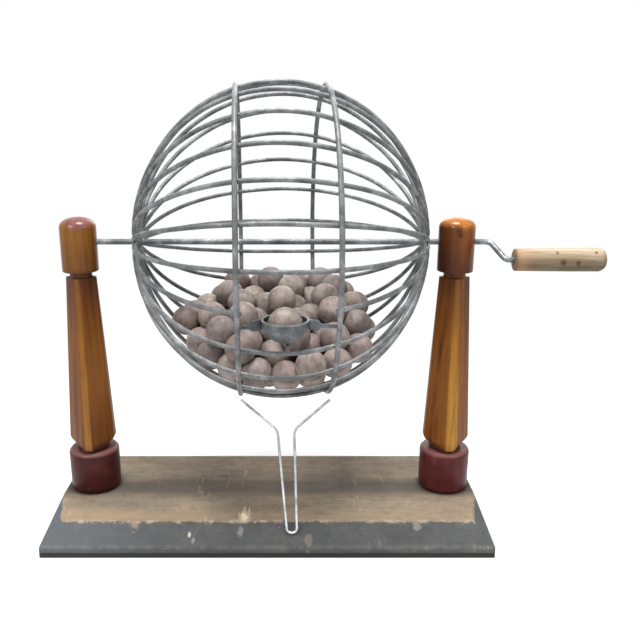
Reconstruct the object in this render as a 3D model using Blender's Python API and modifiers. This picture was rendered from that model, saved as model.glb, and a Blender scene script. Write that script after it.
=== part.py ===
"""A hand-cranked wire bingo cage on a wooden stand, as separate named solids.

Metres, +Z up. +X runs along the axle to the crank, and -Y faces the player.
The origin is on the table, under the axle, halfway along the base board.
"""

import math

import bmesh
import bpy
import numpy as np
from mathutils import Matrix, Vector

# Clearances between pieces that touch
seat_gap = 0.0003
cut_overrun = 0.002
merge_distance = 0.00002

# Base board: a flat plinth with sloping edges, its top narrower at the corners, set a little forward
base_depth = 0.134
base_forward = 0.003
base_thickness = 0.023
base_edge_height = 0.008
base_slope_run = 0.0142
base_top_corner_inset = 0.0145
base_top_waist_inset = 0.004
base_top_waist_half_depth = 0.012

# Posts stand on round feet and end in round heads that carry the axle
post_from_end = 0.026
pole_to_head = 0.00975
foot_radius = 0.01925
foot_height = 0.033
foot_chamfer = 0.002
post_half_diagonal_low = 0.0174
post_half_diagonal_high = 0.0112
post_chamfer_low = 0.0065
post_chamfer_high = 0.0025
post_toe_height = 0.005
post_toe_share = 0.84
post_length = 0.132
low_neck_radius = 0.013
low_neck_height = 0.005
high_neck_radius = 0.008
high_neck_height = 0.004
low_tenon_radius = 0.007
low_tenon_length = 0.014
high_tenon_radius = 0.005
high_tenon_length = 0.011
neck_overlap = 0.001
head_radius = 0.01325
head_height = 0.040
head_dome_height = 0.008
head_edge_break = 0.001
axle_above_head_foot = 0.0217

# Small nail in the front of the right head
nail_radius = 0.0009
nail_length = 0.005
nail_above_axle = 0.0065

# Axle rod, bent into the crank beyond the right head
axle_radius = 0.0021
axle_seat_depth = 0.0225
crank_from_head = 0.01125
crank_bend_run = 0.0075
crank_forward = 0.018
crank_drop = 0.010
crank_ease_share = 0.16
crank_pin_length = 0.065

# Turned handle that spins on the crank pin
handle_from_bend = 0.006
handle_length = 0.0645
handle_radius_inner = 0.0080
handle_radius_outer = 0.0084
handle_inner_round = 0.0012
handle_outer_round = 0.0034

# Cage: wires along the meridians, two hoops outside them, a hub at each pole
cage_offset = 0.010
cage_half_length = 0.106
cage_radius = 0.113
wire_radius = 0.0013
wire_pitch = 0.0273
pole_sections = 5
middle_sections = 5
wire_wander = 0.0022
wander_seed = 7
hub_radius = 0.0062
hub_thickness = 0.004
hub_boss_radius = 0.0042
hub_boss_length = 0.0025
short_wire_start = 0.0128
hoop_middle = 0.0104
hoop_half_spacing = 0.0315
hoop_wire_radius = 0.0016
hoop_skew = 0.0059
hoop_clearance = 0.0001

# Cup that lifts one ball, hung between the hoops in the gate of the cage
ball_radius = 0.0111
cup_outer_radius = 0.0149
cup_wall = 0.0008
cup_x = 0.0138
cup_inset = 0.013
cup_drop = 0.0337
strap_below_rim = 0.0032
strap_height = 0.003
strap_thickness = 0.001
ear_height = 0.0066
ear_length = 0.0066
stem_radius = 0.001
stem_shift = 0.0015

# Balls heaped in the bottom of the cage
ball_count = 98
heap_seed = 12
heap_clearance = 0.0012
heap_start_share = 0.6
heap_start_ceiling = 0.020
heap_touch_share = 0.945
heap_rounds = 420
heap_pushes = 6
heap_step = 0.0011
heap_pull_share = 0.42
heap_middle = 0.004
heap_lean_share = 0.30
cup_clearance = 0.0006

# Wire runway that leans from the base's front slope up to the cage
runway_wire_radius = 0.001
runway_left = -0.0182
runway_right = 0.0447
runway_top_forward = 0.052
runway_top_clearance = 0.0009
runway_knee_share = 0.225
runway_knee_left = 0.0078
runway_knee_right = 0.0197
runway_tip_middle = 0.0179
runway_tip_radius = 0.0037
runway_tip_forward = 0.0625
runway_tip_steps = 6

# How finely round forms are cut
turned_steps = 32
small_turned_steps = 20
cup_steps = 24
cup_arc_steps = 7
ball_segments = 9
ball_rings = 6
cup_ball_segments = 20
cup_ball_rings = 12
tube_resolution = 1
rod_resolution = 2

# Heights and places that follow from the sizes above
base_top = base_thickness
foot_bottom = base_top + seat_gap
foot_top = foot_bottom + foot_height
shaft_bottom = foot_top + low_neck_height
shaft_top = shaft_bottom + post_length
head_bottom = shaft_top + high_neck_height + seat_gap
head_top = head_bottom + head_height
axle_height = head_bottom + axle_above_head_foot
post_x = cage_offset + cage_half_length + pole_to_head + head_radius
base_length = 2 * (post_x + post_from_end)
pin_height = axle_height - crank_drop
crank_bend_one = post_x + head_radius + crank_from_head
crank_bend_two = crank_bend_one + crank_bend_run
crank_pin_end = crank_bend_two + crank_pin_length
handle_start = crank_bend_two + handle_from_bend
cup_reach = cage_radius - cup_inset
wire_count = round(2 * math.pi * cage_radius / wire_pitch)
gate_wire = wire_count - 1
stem_wire = wire_count - 2


def clear_scene():
    for old in list(bpy.data.objects):
        bpy.data.objects.remove(old, do_unlink=True)


def new_collection(name):
    found = bpy.data.collections.new(name)
    bpy.context.scene.collection.children.link(found)
    return found


def material(name, colour, roughness, metallic=0.0):
    made = bpy.data.materials.new(name)
    made.use_nodes = True
    shader = made.node_tree.nodes["Principled BSDF"]
    shader.inputs["Base Color"].default_value = (*colour, 1.0)
    shader.inputs["Roughness"].default_value = roughness
    shader.inputs["Metallic"].default_value = metallic
    return made


def place(name, data, finish, collection):
    made = bpy.data.objects.new(name, data)
    collection.objects.link(made)
    if finish:
        data.materials.append(finish)
    return made


def smooth(made, angle=math.radians(40)):
    made.data.shade_smooth()
    made.data.set_sharp_from_angle(angle=angle)


def turned(name, profile, finish, collection, steps=turned_steps, place_at=(0, 0, 0), along_x=False):
    """A closed turned solid. The profile runs down its outer side, from one axis point to the other."""
    mesh = bpy.data.meshes.new(name)
    points = [(radius, 0.0, height) for radius, height in profile]
    edges = [(i, i + 1) for i in range(len(points) - 1)]
    if profile[0][0] > 0:
        edges.append((len(points) - 1, 0))
    mesh.from_pydata(points, edges, [])
    made = place(name, mesh, finish, collection)
    screw = made.modifiers.new("turn", "SCREW")
    screw.steps = steps
    screw.render_steps = steps
    screw.use_merge_vertices = True
    screw.merge_threshold = merge_distance
    screw.use_smooth_shade = True
    made.location = place_at
    if along_x:
        made.rotation_euler = (0, math.radians(90), 0)
    return made


def hull(name, points, finish, collection):
    """The convex solid round a set of corners, for a loft between unlike outlines."""
    mesh = bpy.data.meshes.new(name)
    shape = bmesh.new()
    for point in points:
        shape.verts.new(point)
    bmesh.ops.convex_hull(shape, input=shape.verts)
    bmesh.ops.recalc_face_normals(shape, faces=shape.faces)
    shape.to_mesh(mesh)
    shape.free()
    return place(name, mesh, finish, collection)


def tube(name, points, radius, finish, collection, resolution=tube_resolution, closed=False):
    """A round wire along the points, as a plain mesh with its ends welded."""
    curve = bpy.data.curves.new(name + "_line", "CURVE")
    curve.dimensions = "3D"
    curve.bevel_depth = radius
    curve.bevel_resolution = resolution
    curve.use_fill_caps = not closed
    spline = curve.splines.new("POLY")
    spline.points.add(len(points) - 1)
    for knot, point in zip(spline.points, points):
        knot.co = (*point, 1.0)
    spline.use_cyclic_u = closed
    guide = place(name + "_line", curve, None, collection)
    bpy.context.view_layer.update()
    graph = bpy.context.evaluated_depsgraph_get()
    mesh = bpy.data.meshes.new_from_object(guide.evaluated_get(graph))
    mesh.name = name
    bpy.data.objects.remove(guide, do_unlink=True)
    shape = bmesh.new()
    shape.from_mesh(mesh)
    bmesh.ops.remove_doubles(shape, verts=shape.verts, dist=merge_distance)
    bmesh.ops.recalc_face_normals(shape, faces=shape.faces)
    shape.to_mesh(mesh)
    shape.free()
    mesh.materials.clear()
    made = place(name, mesh, finish, collection)
    smooth(made)
    return made


def as_cutter(made):
    made.hide_render = True
    made.display_type = "WIRE"
    return made


def combine(target, other, operation):
    step = target.modifiers.new(operation.lower(), "BOOLEAN")
    step.operation = operation
    step.solver = "EXACT"
    step.object = as_cutter(other)


def move_origin(made, point):
    """Puts a mesh object's origin on its joint's axis, with the shape where it was."""
    made.data.transform(Matrix.Translation(-Vector(point)))
    made.location = point


clear_scene()
parts = new_collection("bingo_cage")
cutters = new_collection("bingo_cage_cutters")

board_finish = material("painted_board", (0.20, 0.17, 0.13), 0.7)
foot_finish = material("maroon_lacquer", (0.10, 0.012, 0.014), 0.3)
post_finish = material("amber_varnish", (0.42, 0.17, 0.03), 0.3)
head_finish = material("brown_varnish", (0.30, 0.11, 0.03), 0.25)
handle_finish = material("bare_handle_wood", (0.58, 0.43, 0.25), 0.6)
wire_finish = material("dull_zinc_wire", (0.38, 0.39, 0.38), 0.42, 0.85)
rod_finish = material("steel_rod", (0.40, 0.41, 0.42), 0.35, 0.9)
cup_finish = material("dark_sheet_metal", (0.13, 0.15, 0.17), 0.4, 0.85)
ball_finish = material("turned_ball_wood", (0.50, 0.38, 0.31), 0.65)


def base_board():
    half_length = base_length / 2
    half_depth = base_depth / 2
    top_half_depth = half_depth - base_slope_run
    corner = half_length - base_top_corner_inset
    waist = half_length - base_top_waist_inset
    points = []
    for side in (-1, 1):
        for front in (-1, 1):
            points.append((side * half_length, front * half_depth - base_forward, 0.0))
            points.append((side * half_length, front * half_depth - base_forward, base_edge_height))
            points.append((side * corner, front * top_half_depth - base_forward, base_top))
            points.append((side * waist, front * base_top_waist_half_depth, base_top))
    hull("base_board", points, board_finish, parts)


def foot(side, x):
    bore = low_tenon_radius + seat_gap
    bore_bottom = foot_top - low_tenon_length - seat_gap
    profile = [
        (0.0, bore_bottom),
        (bore, bore_bottom),
        (bore, foot_top),
        (foot_radius - foot_chamfer, foot_top),
        (foot_radius, foot_top - foot_chamfer),
        (foot_radius, foot_bottom + head_edge_break),
        (foot_radius - head_edge_break, foot_bottom),
        (0.0, foot_bottom),
    ]
    turned(f"{side}_foot", profile, foot_finish, parts, place_at=(x, 0, 0))


def post_section(half_diagonal, chamfer, height, x):
    """A square set corner to the front, each corner planed to a narrow flat."""
    half_flat = chamfer / 2
    return [
        (x + sx * a, sy * b, height)
        for sx in (-1, 1)
        for sy in (-1, 1)
        for a, b in ((half_diagonal, half_flat), (half_flat, half_diagonal))
    ]


def post(side, x):
    low = post_half_diagonal_low
    toe = low * post_toe_share
    corners = post_section(toe, post_chamfer_low, shaft_bottom, x)
    corners += post_section(low, post_chamfer_low, shaft_bottom + post_toe_height, x)
    corners += post_section(post_half_diagonal_high, post_chamfer_high, shaft_top, x)
    shaft = hull(f"{side}_post", corners, post_finish, parts)
    neck_bottom = foot_top + seat_gap
    neck_top = head_bottom - seat_gap
    core = [
        (0.0, neck_top + high_tenon_length),
        (high_tenon_radius, neck_top + high_tenon_length),
        (high_tenon_radius, neck_top),
        (high_neck_radius, neck_top),
        (high_neck_radius, shaft_bottom + neck_overlap),
        (low_neck_radius, shaft_bottom + neck_overlap),
        (low_neck_radius, neck_bottom),
        (low_tenon_radius, neck_bottom),
        (low_tenon_radius, foot_top - low_tenon_length),
        (0.0, foot_top - low_tenon_length),
    ]
    combine(shaft, turned(f"join_{side}_core", core, None, cutters, place_at=(x, 0, 0)), "UNION")


def head(side, x, through):
    socket = high_tenon_radius + seat_gap
    socket_top = head_bottom + high_tenon_length + seat_gap
    dome_shares = [(0.0, 1.0), (0.42, 0.94), (0.72, 0.76), (0.92, 0.44), (1.0, 0.0)]
    shoulder = head_top - head_dome_height
    profile = [(share * head_radius, shoulder + rise * head_dome_height) for share, rise in dome_shares]
    profile += [
        (head_radius, head_bottom + head_edge_break),
        (head_radius - head_edge_break, head_bottom),
        (socket, head_bottom),
        (socket, socket_top),
        (0.0, socket_top),
    ]
    made = turned(f"{side}_head", profile, head_finish, parts, place_at=(x, 0, 0))
    if through:
        low = x - head_radius - cut_overrun
        high = x + head_radius + cut_overrun
    else:
        low = x + head_radius - axle_seat_depth - seat_gap
        high = x + head_radius + cut_overrun
    bore = [
        (0.0, high),
        (axle_radius + seat_gap, high),
        (axle_radius + seat_gap, low),
        (0.0, low),
    ]
    at = (0, 0, axle_height)
    combine(made, turned(f"cut_axle_{side}", bore, None, cutters, small_turned_steps, at, True), "DIFFERENCE")
    return made


def nail(made):
    """A round nail driven into the head's front above the axle, its end flush with the wood."""
    high = axle_height + nail_above_axle
    front = Vector((post_x, -head_radius, high))
    inner = front + Vector((0, nail_length + seat_gap, 0))
    outer = front - Vector((0, cut_overrun, 0))
    cutter = tube("cut_nail", [outer, inner], nail_radius + seat_gap, None, cutters, rod_resolution)
    combine(made, cutter, "DIFFERENCE")
    end = front + Vector((0, nail_length, 0))
    tube("right_head_nail", [front, end], nail_radius, rod_finish, parts, rod_resolution)


def axle_crank():
    """The axle from its blind seat in the left head, through the cage, to the end of the crank pin."""
    left_end = -post_x + head_radius - axle_seat_depth
    start = Vector((crank_bend_one, 0, axle_height))
    finish = Vector((crank_bend_two, -crank_forward, pin_height))
    arm = finish - start
    ease = arm * crank_ease_share
    run = Vector((ease.length, 0, 0))
    points = [
        (left_end, 0, axle_height),
        start - run,
        start + ease,
        finish - ease,
        finish + run,
        (crank_pin_end, -crank_forward, pin_height),
    ]
    made = tube("axle_crank", points, axle_radius, rod_finish, parts, rod_resolution)
    move_origin(made, (0, 0, axle_height))


def crank_handle():
    length = handle_length
    bore = axle_radius + seat_gap
    bore_end = crank_pin_end - handle_start + seat_gap
    outer = handle_radius_outer
    ease = handle_outer_round
    profile = [
        (0.0, length),
        (outer - ease, length),
        (outer - ease / 3, length - ease / 3),
        (outer, length - ease),
        (handle_radius_inner, handle_inner_round),
        (handle_radius_inner - handle_inner_round, 0.0),
        (bore, 0.0),
        (bore, bore_end),
        (0.0, bore_end),
    ]
    at = (handle_start, -crank_forward, pin_height)
    turned("crank_handle", profile, handle_finish, parts, place_at=at, along_x=True)


def cage_hub(side, direction):
    """A small turned hub on the axle. Its rim takes the ends of every second wire."""
    rim_x = cage_half_length * math.sqrt(1 - (hub_radius / cage_radius) ** 2)
    half = hub_thickness / 2
    bore = axle_radius + seat_gap
    profile = [
        (bore, half),
        (hub_radius, half),
        (hub_radius, -half),
        (hub_boss_radius, -half),
        (hub_boss_radius, -half - hub_boss_length),
        (bore, -half - hub_boss_length),
    ]
    centre = (cage_offset + direction * rim_x, 0, axle_height)
    made = turned(f"cage_hub_{side}", profile, wire_finish, parts, small_turned_steps, centre, True)
    if direction < 0:
        made.rotation_euler = (0, math.radians(-90), 0)


def wire_leans():
    """A small sideways lean for each wire, so that the cage looks bent by hand."""
    rng = np.random.default_rng(wander_seed)
    return rng.uniform(-1.0, 1.0, wire_count) * wire_wander / cage_radius


def wire_angle(index, turn):
    """The angle about the axle, from the front at zero, growing upwards."""
    return 2 * math.pi * index / wire_count + wire_leans()[index] * math.sin(turn) ** 2


def on_cage(radius, angle, x):
    return (x, -radius * math.cos(angle), axle_height + radius * math.sin(angle))


def turn_at(x):
    """How far round a meridian x is: zero at the left pole, pi at the right."""
    return math.acos((cage_offset - x) / cage_half_length)


def wire_point(index, turn):
    x = cage_offset - cage_half_length * math.cos(turn)
    return on_cage(cage_radius * math.sin(turn), wire_angle(index, turn), x)


def hoop_x(direction, angle):
    return hoop_middle + direction * hoop_half_spacing + hoop_skew * math.cos(angle)


def hoop_radius(direction, angle):
    """The hoop's middle line lies just outside the wires, wherever it crosses them."""
    under = cage_radius * math.sin(turn_at(hoop_x(direction, angle)))
    return under + wire_radius + hoop_wire_radius + seat_gap


def crossing(direction, index):
    """Where a wire passes under a hoop."""
    angle = wire_angle(index, math.pi / 2)
    return turn_at(hoop_x(direction, angle))


def steps_between(low, high, count):
    return [low + (high - low) * i / count for i in range(count + 1)]


def cage_wires():
    starts = (hub_radius + seat_gap, short_wire_start)
    for index in range(wire_count):
        start = math.asin(starts[index % 2] / cage_radius)
        left = crossing(-1, index)
        right = crossing(1, index)
        if index == gate_wire:
            overhang = (hoop_wire_radius + wire_radius) / cage_radius
            gate_wires(index, start, left + overhang, right - overhang)
            continue
        turns = steps_between(start, left, pole_sections)
        turns += steps_between(left, right, middle_sections)[1:]
        turns += steps_between(right, math.pi - start, pole_sections)[1:]
        points = [wire_point(index, turn) for turn in turns]
        made = tube(f"cage_wire_{index + 1:02d}", points, wire_radius, wire_finish, parts)
        move_origin(made, (0, 0, axle_height))


def gate_wires(index, start, left, right):
    """The wire that the gate interrupts: one length on each side, ending under its hoop."""
    for side, low, high in (("left", start, left), ("right", right, math.pi - start)):
        points = [wire_point(index, turn) for turn in steps_between(low, high, pole_sections)]
        made = tube(f"gate_wire_{side}", points, wire_radius, wire_finish, parts)
        move_origin(made, (0, 0, axle_height))


def hoops():
    for side, direction in (("left", -1), ("right", 1)):
        points = []
        for index in range(wire_count):
            angle = wire_angle(index, crossing(direction, index))
            points.append(on_cage(hoop_radius(direction, angle), angle, hoop_x(direction, angle)))
        made = tube(f"hoop_{side}", points, hoop_wire_radius, wire_finish, parts, closed=True)
        move_origin(made, (0, 0, axle_height))


def cup_centre():
    forward = math.sqrt(cup_reach**2 - cup_drop**2)
    return Vector((cup_x, -forward, axle_height - cup_drop))


def cup_strap(side, direction):
    """A flat strip from the hoop to the cup's side, widened to an ear where it meets the cup."""
    centre = cup_centre()
    level = centre.z - strap_below_rim
    angle = math.asin((level - axle_height) / cage_radius)
    reach = hoop_radius(direction, angle) - hoop_wire_radius - strap_thickness / 2
    reach -= cage_radius * (1 - math.cos(math.pi / wire_count)) + hoop_clearance + seat_gap
    hoop_y = -math.sqrt(reach**2 - (axle_height - level) ** 2)
    start = hoop_x(direction, angle) + direction * hoop_wire_radius
    finish = centre.x + direction * (cup_outer_radius + seat_gap)
    length = abs(finish - start)
    thin = strap_height / 2
    wide = ear_height / 2
    neck = length - ear_length
    outline = [
        (0.0, -thin),
        (neck - wide, -thin),
        (neck, -wide),
        (length, -wide),
        (length, wide),
        (neck, wide),
        (neck - wide, thin),
        (0.0, thin),
    ]
    points = []
    for half in (-strap_thickness / 2, strap_thickness / 2):
        for along, high in outline:
            share = along / length
            y = hoop_y + (centre.y - hoop_y) * share
            points.append((start - direction * along, y + half, level + high))
    count = len(outline)
    faces = [list(range(count)), list(range(2 * count - 1, count - 1, -1))]
    faces += [[i, i + count, (i + 1) % count + count, (i + 1) % count] for i in range(count)]
    mesh = bpy.data.meshes.new(f"cup_strap_{side}")
    mesh.from_pydata(points, [], faces)
    shape = bmesh.new()
    shape.from_mesh(mesh)
    bmesh.ops.recalc_face_normals(shape, faces=shape.faces)
    shape.to_mesh(mesh)
    shape.free()
    made = place(f"cup_strap_{side}", mesh, cup_finish, parts)
    move_origin(made, (0, 0, axle_height))


def ball_cup():
    centre = cup_centre()
    outer = cup_outer_radius
    inner = outer - cup_wall
    quarter = [math.pi / 2 * i / cup_arc_steps for i in range(cup_arc_steps + 1)]
    profile = [(inner * math.sin(a), -inner * math.cos(a)) for a in quarter]
    profile += [(outer * math.cos(a), -outer * math.sin(a)) for a in quarter[:-1]]
    profile.append((0.0, -outer))
    turned("ball_cup", profile, cup_finish, parts, cup_steps, centre)
    below = centre + Vector((stem_shift, 0, -outer))
    wire = Vector(wire_point(stem_wire, turn_at(below.x)))
    heading = (wire - below).normalized()
    start = below + heading * 2 * seat_gap
    finish = wire - heading * (wire_radius + seat_gap)
    made = tube("cup_stem", [start, finish], stem_radius, wire_finish, parts)
    move_origin(made, (0, 0, axle_height))


def ball_shape(radius, segments, rings, name):
    shape = bmesh.new()
    bmesh.ops.create_uvsphere(shape, u_segments=segments, v_segments=rings, radius=radius)
    mesh = bpy.data.meshes.new(name)
    shape.to_mesh(mesh)
    shape.free()
    return mesh


def cup_ball():
    sink = cup_outer_radius - cup_wall - ball_radius - seat_gap
    mesh = ball_shape(ball_radius, cup_ball_segments, cup_ball_rings, "cup_ball")
    seated = place("cup_ball", mesh, ball_finish, parts)
    seated.location = cup_centre() - Vector((0, 0, sink))
    smooth(seated)


def heap_places():
    """Where the balls come to rest: dropped towards the back, pushed apart and held in by the cage."""
    rng = np.random.default_rng(heap_seed)
    wall = wire_radius + heap_clearance + ball_radius
    room = np.array([cage_half_length - wall, cage_radius - wall, cage_radius - wall])
    middle = np.array([-heap_middle, 0.0, 0.0])
    spots = rng.uniform(-1.0, 1.0, (ball_count, 3)) * room * heap_start_share
    spots[:, 2] = -np.abs(spots[:, 2]) - heap_start_ceiling
    apart = 2 * ball_radius * heap_touch_share
    cup = np.array(cup_centre()) - np.array([cage_offset, 0.0, axle_height])
    off_cup = cup_outer_radius + ball_radius + cup_clearance
    for turn in range(heap_rounds):
        pull = (middle - spots) * heap_pull_share
        pull[:, 1] += heap_lean_share * np.linalg.norm(room)
        pull[:, 2] = -np.linalg.norm(room)
        step = heap_step * (1 - turn / heap_rounds)
        spots += step * pull / np.linalg.norm(pull, axis=1, keepdims=True)
        for _ in range(heap_pushes):
            between = spots[:, None, :] - spots[None, :, :]
            distance = np.linalg.norm(between, axis=2) + np.eye(ball_count)
            push = np.clip(apart - distance, 0, None) * (1 - np.eye(ball_count))
            spots += (between / distance[:, :, None] * push[:, :, None]).sum(axis=1) / 2
            from_cup = spots - cup
            reach = np.linalg.norm(from_cup, axis=1, keepdims=True)
            spots += from_cup / reach * np.clip(off_cup - reach, 0, None)
            outside = np.sqrt(((spots / room) ** 2).sum(axis=1))
            spots /= np.maximum(outside, 1.0)[:, None]
    gather(spots, apart)
    return spots + np.array([cage_offset, 0.0, axle_height])


def group_of(start, near):
    """Every ball that is joined to this one through balls that touch."""
    found = {start}
    fresh = [start]
    while fresh:
        for other in np.flatnonzero(near[fresh.pop()]):
            if int(other) not in found:
                found.add(int(other))
                fresh.append(int(other))
    return sorted(found)


def gather(spots, apart):
    """Moves each stray ball or group against the rest, since the heap is one solid."""
    for _ in range(ball_count):
        distance = np.linalg.norm(spots[:, None, :] - spots[None, :, :], axis=2)
        lowest = int(np.argmin(spots[:, 2]))
        heap = group_of(lowest, distance < apart + seat_gap)
        others = sorted(set(range(ball_count)) - set(heap))
        if not others:
            return
        gaps = distance[np.ix_(others, heap)]
        row, column = np.unravel_index(int(np.argmin(gaps)), gaps.shape)
        stray, partner = others[row], heap[column]
        moved = group_of(stray, distance < apart + seat_gap)
        way = (spots[partner] - spots[stray]) / distance[stray, partner]
        spots[moved] += way * (distance[stray, partner] - apart)


def ball_heap():
    """The heap as one solid: neighbouring balls meet in a small flat where they touch."""
    others = new_collection("bingo_cage_heap")
    others.hide_render = True
    for number, spot in enumerate(heap_places()):
        first = number == 0
        name = "ball_pile" if first else f"heap_ball_{number:02d}"
        mesh = ball_shape(ball_radius, ball_segments, ball_rings, name)
        mesh.transform(Matrix.Rotation(number, 4, "Z") @ Matrix.Rotation(number / 2, 4, "X"))
        made = place(name, mesh, ball_finish, parts if first else others)
        made.location = spot
        if not first:
            as_cutter(made)
    step = bpy.data.objects["ball_pile"].modifiers.new("union", "BOOLEAN")
    step.operation = "UNION"
    step.solver = "EXACT"
    step.operand_type = "COLLECTION"
    step.collection = others


def runway_tip():
    """Where the bottom of the runway's bend rests on the front slope of the base."""
    slope_top = base_depth / 2 + base_forward - base_slope_run
    fall = base_thickness - base_edge_height
    length = math.hypot(base_slope_run, fall)
    lift = runway_wire_radius + seat_gap
    height = base_top - (runway_tip_forward - slope_top) * fall / base_slope_run
    return (
        -(runway_tip_forward + lift * fall / length),
        height + lift * base_slope_run / length,
    )


def ball_runway():
    """One bent wire: an open throat under the cage, two rails, and a round stop at the foot."""
    tip_y, tip_z = runway_tip()
    widest = hoop_radius(-1, 0.0) + hoop_wire_radius
    reach = widest + runway_top_clearance + runway_wire_radius
    top_y = -runway_top_forward
    top_z = axle_height - math.sqrt(reach**2 - runway_top_forward**2)
    length = math.hypot(tip_y - top_y, tip_z - top_z)
    bend_share = 1 - runway_tip_radius / length

    def on_lean(x, share):
        return (x, top_y + (tip_y - top_y) * share, top_z + (tip_z - top_z) * share)

    points = [on_lean(runway_left, 0.0), on_lean(runway_knee_left, runway_knee_share)]
    for i in range(runway_tip_steps + 1):
        angle = math.pi * i / runway_tip_steps
        share = bend_share + math.sin(angle) * runway_tip_radius / length
        points.append(on_lean(runway_tip_middle - runway_tip_radius * math.cos(angle), share))
    points += [on_lean(runway_knee_right, runway_knee_share), on_lean(runway_right, 0.0)]
    made = tube("ball_runway", points, runway_wire_radius, rod_finish, parts, rod_resolution)
    move_origin(made, (runway_tip_middle, tip_y, tip_z))


base_board()
for side, x in (("left", -post_x), ("right", post_x)):
    foot(side, x)
    post(side, x)
    carrier = head(side, x, through=side == "right")
nail(carrier)
axle_crank()
crank_handle()
cage_hub("left", -1)
cage_hub("right", 1)
cage_wires()
hoops()
cup_strap("left", -1)
cup_strap("right", 1)
ball_cup()
cup_ball()
ball_heap()
ball_runway()
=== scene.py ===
"""Looks for a hand-cranked wire bingo cage on a wooden stand.

Metres, +Z up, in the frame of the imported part: +X along the axle, -Y towards the player.
"""

from math import acos, asin, cos, hypot, pi, radians, sin, sqrt

import bmesh
import bpy
import numpy as np
from mathutils import Matrix, Vector
from numpy.linalg import norm

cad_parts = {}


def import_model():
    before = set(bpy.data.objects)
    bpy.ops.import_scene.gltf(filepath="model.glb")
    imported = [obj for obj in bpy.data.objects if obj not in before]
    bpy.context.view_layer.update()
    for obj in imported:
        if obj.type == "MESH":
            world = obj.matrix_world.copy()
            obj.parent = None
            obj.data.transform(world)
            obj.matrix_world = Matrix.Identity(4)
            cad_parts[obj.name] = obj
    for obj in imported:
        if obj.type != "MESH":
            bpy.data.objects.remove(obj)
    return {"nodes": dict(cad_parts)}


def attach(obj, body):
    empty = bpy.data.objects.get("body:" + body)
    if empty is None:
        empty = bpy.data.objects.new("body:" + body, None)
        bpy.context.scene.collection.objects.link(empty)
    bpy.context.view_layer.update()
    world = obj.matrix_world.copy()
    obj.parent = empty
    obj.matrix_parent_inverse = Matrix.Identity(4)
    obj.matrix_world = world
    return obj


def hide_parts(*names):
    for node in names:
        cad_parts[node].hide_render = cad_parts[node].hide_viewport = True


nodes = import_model()["nodes"]
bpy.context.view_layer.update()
scene = bpy.context.scene

# Places taken over from the part's source
POST_X = 0.139
BASE_HALF = 0.165
BASE_DEPTH = 0.134
BASE_FORWARD = 0.003
BASE_SLOPE = 0.0142
BASE_CORNER = 0.0145
BASE_WAIST = 0.004
BASE_WAIST_DEPTH = 0.012
BASE_TOP = 0.023
BASE_EDGE = 0.008
FOOT_TOP = 0.0563
SHAFT_BOTTOM = 0.0613
SHAFT_TOP = 0.1933
POST_LOW = 0.0174
POST_HIGH = 0.0112
POST_FLAT_LOW = 0.0065
POST_FLAT_HIGH = 0.0025
HEAD_BOTTOM = 0.1976
HEAD_TOP = 0.2376
HEAD_RADIUS = 0.01325
AXLE_Z = 0.2193
AXLE_RADIUS = 0.0021
CRANK_BENDS = (0.1635, 0.1710)
CRANK_FORWARD = 0.018
PIN_Z = AXLE_Z - 0.010
PIN_END = 0.236
HANDLE_START = 0.177
HANDLE_LENGTH = 0.0645
CAGE_X = 0.010
CAGE_HALF = 0.106
CAGE_RADIUS = 0.113
WIRE_RADIUS = 0.0013
WIRE_COUNT = 26
WIRE_WANDER = 0.0022
WANDER_SEED = 7
HOOP_X = 0.0104
HOOP_HALF = 0.0315
HOOP_RADIUS = 0.0016
HOOP_SKEW = 0.0059
GATE_WIRE = 25
STEM_WIRE = 24
BALL_RADIUS = 0.0111
CUP_RADIUS = 0.0149
CUP_WALL = 0.0008
CUP_ROLL = 0.0008
SOLDER_RADIUS = 0.0017
CUP_REACH = 0.100
CUP_DROP = 0.0337
CUP = Vector((0.0138, -sqrt(CUP_REACH**2 - CUP_DROP**2), AXLE_Z - CUP_DROP))
BALL_COUNT = 98
HEAP_SEED = 12
HEAP_CLEARANCE = 0.0012
HEAP_START_SHARE = 0.6
HEAP_CEILING = 0.020
HEAP_TOUCH_SHARE = 0.945
HEAP_ROUNDS = 420
HEAP_PUSHES = 6
HEAP_STEP = 0.0011
HEAP_PULL_SHARE = 0.42
HEAP_MIDDLE = 0.004
HEAP_LEAN_SHARE = 0.30
CUP_CLEARANCE = 0.0006
SEAT_GAP = 0.0003
RUNWAY_RADIUS = 0.001
RUNWAY_FOOT = 0.0625
POLE_GAP = 0.0036
GATE_OVERLAP = 0.022
STRAP_THICKNESS = 0.001
DOME = 0.008
NAIL_UP = 0.0065

# The photograph shows the wires and hoops heavier than the solids, so they are drawn with these radii
WIRE_SEEN = 0.00158
HOOP_SEEN = 0.0018

WIRE_STEPS = 84
GATE_STEPS = 30
HOOP_STEPS = 156
SIDES = (("left", -1), ("right", 1))
ON_AXIS = 1e-7
BALL_TURN = 6.283
WHITE = (1, 1, 1)
NOISE_RANGE = (0.3, 0.7)

# Chips on the board's front slope: x, y, where each starts to fade and ends, its share and its colour
BOARD_SCARS = (
    (-0.0567, -0.0636, 0.0004, 0.0024, 0.90, (0.50, 0.48, 0.44)),
    (-0.0535, -0.0658, 0.0004, 0.0036, 0.5, (0.33, 0.30, 0.26)),
    (-0.0973, -0.0560, 0.0020, 0.0085, 0.55, (0.30, 0.225, 0.165)),
    (-0.0195, -0.0618, 0.0005, 0.0046, 0.40, (0.31, 0.30, 0.27)),
    (0.0296, -0.0655, 0.0012, 0.0052, 0.40, (0.26, 0.21, 0.18)),
    (0.1090, -0.0590, 0.0010, 0.0050, 0.40, (0.34, 0.32, 0.28)),
)

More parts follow.
